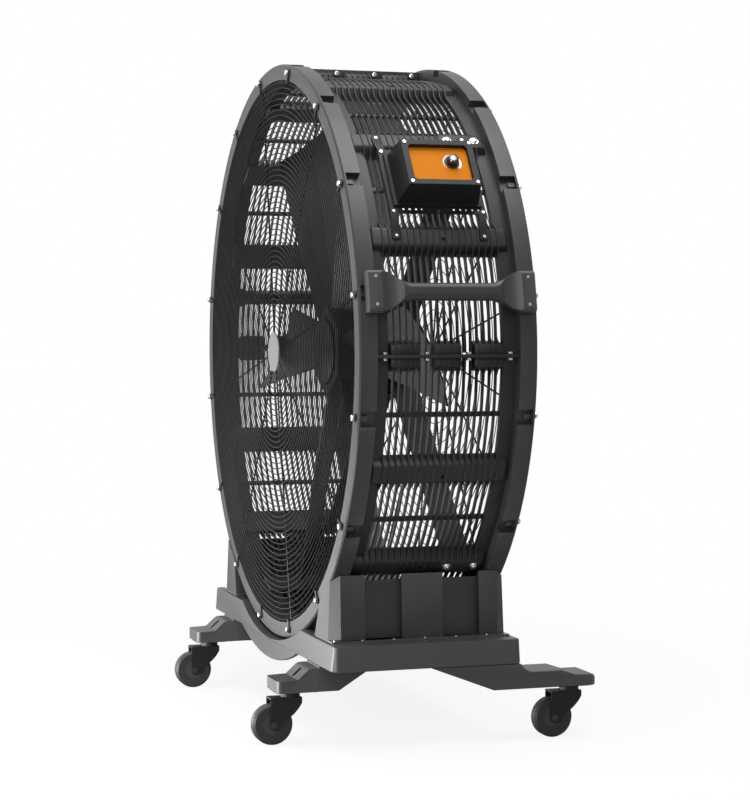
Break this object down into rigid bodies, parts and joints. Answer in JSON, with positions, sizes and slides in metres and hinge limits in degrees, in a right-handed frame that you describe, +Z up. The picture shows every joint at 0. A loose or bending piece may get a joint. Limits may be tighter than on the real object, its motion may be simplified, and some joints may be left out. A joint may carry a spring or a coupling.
{
  "type": "portable drum fan",
  "caption": "Portable drum fan with a slatted round cage, wire grilles, side handles and a speed control box, on a moulded base with swivel casters",
  "frame": {"origin": "floor level under the middle of the fan's bounding box", "axes": "+Z up, +Y towards the rear grille (air intake), -Y the outlet side, +X towards the control box side"},
  "size_m": [1.564, 0.837, 1.702],
  "materials": {
    "charcoal_plastic": "moulded charcoal plastic, satin",
    "handle_plastic": "moulded dark grey plastic, fine grain",
    "zinc_steel": "bright zinc-plated steel",
    "dark_screw": "black oxide steel",
    "black_wire": "black powder-coated wire",
    "black_clip": "black plastic",
    "badge_grey": "light grey plastic, bare",
    "carrier_steel": "dark grey painted steel",
    "motor_alloy": "dark painted cast alloy",
    "core_steel": "bare machined steel",
    "blade_plastic": "black filled plastic",
    "pad_rubber": "black rubber sheet",
    "panel_orange": "orange face plate, bare",
    "wheel_core": "dark grey plastic",
    "tyre_rubber": "black rubber tread"
  },
  "bodies": {
    "fan_rotor": {"fan_shaft": "core_steel", "motor_rotor": "core_steel", "fan_hub": "motor_alloy", "hub_cap": "motor_alloy", "fan_blades": "blade_plastic"},
    "speed_knob": {"speed_knob": "black_clip"},
    "caster_front_right": {"caster_fork_front_right": "carrier_steel", "wheel_axle_front_right": "dark_screw"},
    "wheel_front_right": {"wheel_core_front_right": "wheel_core", "tyre_front_right": "tyre_rubber"},
    "caster_front_left": {"caster_fork_front_left": "carrier_steel", "wheel_axle_front_left": "dark_screw"},
    "wheel_front_left": {"wheel_core_front_left": "wheel_core", "tyre_front_left": "tyre_rubber"},
    "caster_rear_right": {"caster_fork_rear_right": "carrier_steel", "wheel_axle_rear_right": "dark_screw"},
    "wheel_rear_right": {"wheel_core_rear_right": "wheel_core", "tyre_rear_right": "tyre_rubber"},
    "caster_rear_left": {"caster_fork_rear_left": "carrier_steel", "wheel_axle_rear_left": "dark_screw"},
    "wheel_rear_left": {"wheel_core_rear_left": "wheel_core", "tyre_rear_left": "tyre_rubber"},
    "frame": {"base_tray": "charcoal_plastic", "cable_gland": "black_clip", "cage_panel_left_lower": "charcoal_plastic", "cage_panel_left_upper": "charcoal_plastic", "cage_panel_right_lower": "charcoal_plastic", "cage_panel_right_upper": "charcoal_plastic", "caster_plates": "carrier_steel", "control_bezel": "handle_plastic", "control_box": "handle_plastic", "control_bracket": "carrier_steel", "control_panel": "panel_orange", "control_screws": "zinc_steel", "front_arms": "charcoal_plastic", "front_feet": "charcoal_plastic", "front_grille": "black_wire", "front_rim": "charcoal_plastic", "grille_badge": "badge_grey", "grille_bolts": "zinc_steel", "grille_clips": "black_clip", "handle_left": "handle_plastic", "handle_pads": "pad_rubber", "handle_right": "handle_plastic", "handle_screws": "zinc_steel", "motor_bearings": "core_steel", "motor_end_cover": "motor_alloy", "motor_housing": "motor_alloy", "motor_spider": "carrier_steel", "motor_stator": "core_steel", "pedestal_left": "charcoal_plastic", "pedestal_right": "charcoal_plastic", "pedestal_screws": "zinc_steel", "rear_arms": "charcoal_plastic", "rear_grille": "black_wire", "rear_rim": "charcoal_plastic", "seam_bolts": "zinc_steel", "speed_setter": "black_clip", "spider_bolts": "zinc_steel"}
  },
  "joints": [
    {"name": "fan_spin", "type": "hinge", "parent": "frame", "child": "fan_rotor", "pos_m": [0, -0.0515, 0.952], "axis": [0, 1, 0], "continuous": true},
    {"name": "knob_turn", "type": "hinge", "parent": "frame", "child": "speed_knob", "pos_m": [0.6732, 0.0105, 1.41144], "axis": [0.8315, 0, 0.5556], "range_deg": [-270, 0]},
    {"name": "swivel_front_right", "type": "hinge", "parent": "frame", "child": "caster_front_right", "pos_m": [0.429, -0.3215, 0.12], "axis": [0, 0, 1], "continuous": true},
    {"name": "roll_front_right", "type": "hinge", "parent": "caster_front_right", "child": "wheel_front_right", "pos_m": [0.429, -0.3685, 0.05], "axis": [1, 0, 0], "continuous": true},
    {"name": "swivel_front_left", "type": "hinge", "parent": "frame", "child": "caster_front_left", "pos_m": [-0.429, -0.3215, 0.12], "axis": [0, 0, 1], "continuous": true},
    {"name": "roll_front_left", "type": "hinge", "parent": "caster_front_left", "child": "wheel_front_left", "pos_m": [-0.429, -0.3685, 0.05], "axis": [1, 0, 0], "continuous": true},
    {"name": "swivel_rear_right", "type": "hinge", "parent": "frame", "child": "caster_rear_right", "pos_m": [0.544, 0.3685, 0.12], "axis": [0, 0, 1], "continuous": true},
    {"name": "roll_rear_right", "type": "hinge", "parent": "caster_rear_right", "child": "wheel_rear_right", "pos_m": [0.544, 0.3215, 0.05], "axis": [1, 0, 0], "continuous": true},
    {"name": "swivel_rear_left", "type": "hinge", "parent": "frame", "child": "caster_rear_left", "pos_m": [-0.544, 0.3685, 0.12], "axis": [0, 0, 1], "continuous": true},
    {"name": "roll_rear_left", "type": "hinge", "parent": "caster_rear_left", "child": "wheel_rear_left", "pos_m": [-0.544, 0.3215, 0.05], "axis": [1, 0, 0], "continuous": true}
  ]
}
